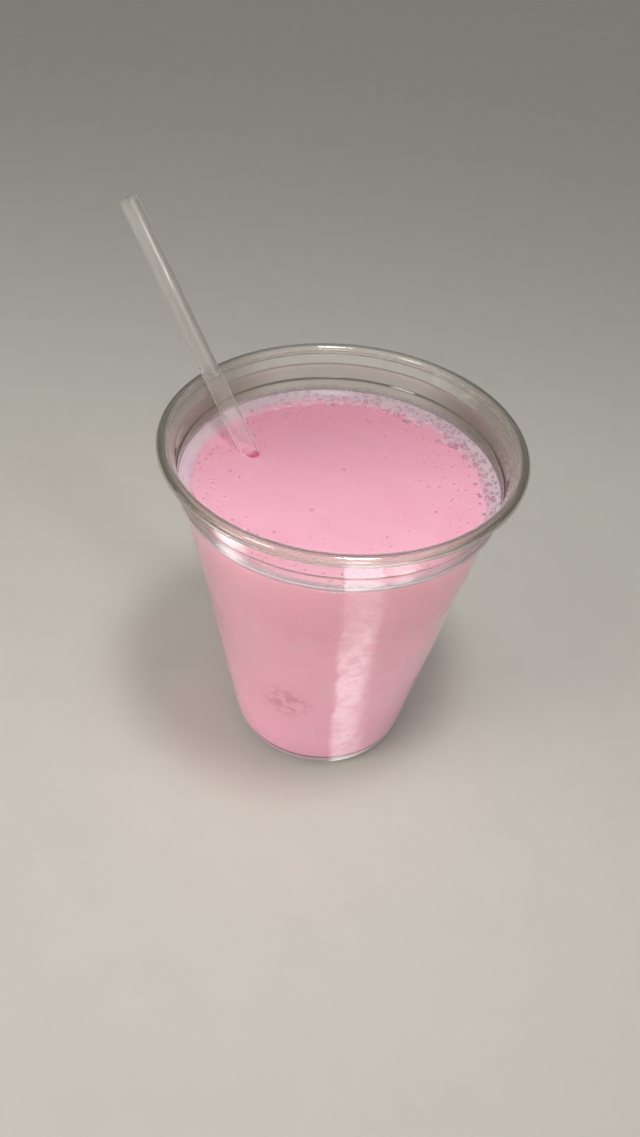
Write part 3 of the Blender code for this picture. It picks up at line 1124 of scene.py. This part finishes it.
def make_camera():
    """The photograph's camera: focal length in pixels over the long side, times the sensor."""
    lens = bpy.data.cameras.new("camera")
    lens.sensor_fit = "AUTO"
    lens.sensor_width = SENSOR
    lens.lens = FOCAL_PIXELS / PICTURE[1] * SENSOR
    lens.clip_start = 0.01
    camera = bpy.data.objects.new("camera", lens)
    turn = Matrix((CAMERA_X, CAMERA_Y, BACKWARDS)).transposed().to_4x4()
    camera.matrix_world = Matrix.Translation(CAMERA_PLACE) @ turn
    bpy.context.scene.collection.objects.link(camera)
    bpy.context.scene.camera = camera


def area_light(name, place, target, size, power, colour, glossy):
    """A rectangular lamp at place that looks at target."""
    lamp = bpy.data.lights.new(name, "AREA")
    lamp.shape = "RECTANGLE"
    lamp.size, lamp.size_y = size
    lamp.energy = power
    lamp.color = colour
    made = bpy.data.objects.new(name, lamp)
    made.location = place
    look = Vector(target) - Vector(place)
    made.rotation_euler = look.to_track_quat("-Z", "Y").to_euler()
    made.visible_glossy = glossy
    bpy.context.scene.collection.objects.link(made)


def glow_card(name, box, glow_of, strength):
    """A bright patch lying on the floor in front, seen only as a gloss on the cup."""
    left, right, front, back = box
    corners = [(left, front), (right, front), (right, back), (left, back)]
    card = new_piece(name, [(*c, CARD_HEIGHT) for c in corners], [(0, 1, 2, 3)], closed=False)
    paint = Finish(name)
    split = paint.node("SeparateXYZ", values={0: paint.out("TexCoord", output="Object")})
    glow = glow_of(paint, Wire(split.outputs[0]) / MM, Wire(split.outputs[1]) / MM)
    light = paint.out("Emission", values={"Color": (1, 0.99, 0.96, 1), "Strength": strength})
    clear = paint.out("BsdfTransparent")
    card.data.materials.append(
        paint.finished(paint.out("MixShader", values={0: glow, 1: clear, 2: light}))
    )
    card.visible_camera = False
    card.visible_diffuse = False
    card.visible_transmission = False
    card.visible_shadow = False


def widening(paint, across, along):
    """Strength of the front patch, 0 to 1: it widens away from the cup, in millimetres.

    It is dim near the cup, dimmest in the middle of its length and bright far out.
    """
    away = 0.0 - along
    left_start, left_slope, left_most = LEFT_EDGE
    left = left_start + left_slope * away
    left = left.maths("MINIMUM", left, left_most)
    right = RIGHT_EDGE[0] + RIGHT_EDGE[1] * away
    inside = paint.ramp(across - left, -1.5, 2.0) * paint.ramp(right - across, -7.0, 13.0)
    near = NEAR_SHARE * (0.75 + 0.25 * paint.ramp(away, 25.0, 50.0))
    near = near - (NEAR_SHARE - MIDDLE_SHARE) * paint.ramp(away, 58.0, 74.0)
    share = near + (1.0 - MIDDLE_SHARE) * paint.ramp(away, 112.0, 121.0)
    return inside * share * paint.ramp(away, 279.0, 250.0)


def spot(centre, reach):
    """A soft round patch of light: 1 near its centre and 0 at reach, in millimetres."""

    def glow(paint, across, along):
        off_x, off_y = across - centre[0] / MM, along - centre[1] / MM
        away = (off_x * off_x + off_y * off_y) ** 0.5
        return paint.ramp(away, reach / MM, 0.2 * reach / MM)

    return glow


def make_glow_cards():
    glow_card("front_glow", CARD_BOX, widening, CARD_STRENGTH)
    for name, centre, reach, strength in GLOW_SPOTS:
        x, y = centre
        box = (x - reach, x + reach, y - reach, y + reach)
        glow_card(name, box, spot(centre, reach), strength)


def make_light():
    """Lamps above and round the front, under a sky that is dim low down and paler high up.

    The dim horizon lets the clear edges read.
    """
    world = bpy.data.worlds.new("studio")
    world.use_nodes = True
    tree = world.node_tree
    sky = tree.nodes["Background"]
    sky.inputs["Color"].default_value = SKY_COLOUR
    place = tree.nodes.new("ShaderNodeTexCoord")
    split = tree.nodes.new("ShaderNodeSeparateXYZ")
    rise = tree.nodes.new("ShaderNodeMapRange")
    rise.inputs["From Min"].default_value = SKY_RISE[0]
    rise.inputs["From Max"].default_value = SKY_RISE[1]
    rise.inputs["To Min"].default_value = SKY_STRENGTH[0]
    rise.inputs["To Max"].default_value = SKY_STRENGTH[1]
    tree.links.new(place.outputs["Generated"], split.inputs[0])
    tree.links.new(split.outputs[2], rise.inputs["Value"])
    tree.links.new(rise.outputs[0], sky.inputs["Strength"])
    bpy.context.scene.world = world
    for lamp in LAMPS:
        area_light(*lamp)


def main():
    bubble = bubble_paint("bubble", (0.43, 0.245, 0.325), (0.66, 0.48, 0.55), 0.68, 0.35)
    pit = bubble_paint("pit", (0.60, 0.24, 0.34), (0.80, 0.42, 0.53), 0.28, 0.06)
    dressed(make_cup_wall(), clear_plastic(), "clear_plastic", "cup")
    dressed(make_lassi(), rose_lassi(), "rose_lassi", "drink")
    ring = dressed(make_froth_ring(), froth_paint(), "froth", "froth")
    film = dressed(make_milk_film(), film_paint(), "froth")
    edge = dressed(make_froth_bubbles(), bubble, "froth")
    large = dressed(make_large_bubbles(), bubble, "froth")
    small = dressed(make_small_bubbles(), pit, "froth")
    foam = bubble_paint("foam", (0.60, 0.46, 0.525), (0.74, 0.50, 0.60), 0.55, 0.12)
    mounds = dressed(make_foam_mounds(), foam, "froth")
    drops = dressed(make_wall_drops(), drop_glints(), "rose_lassi")
    for thin in (ring, film, edge, large, small, mounds, drops):
        thin.visible_shadow = False
    dressed(make_straw_tube(), straw_plastic(), "straw_plastic", "straw")
    make_floor()
    make_camera()
    make_light()
    make_glow_cards()
    bpy.context.scene.view_settings.view_transform = "Standard"


main()
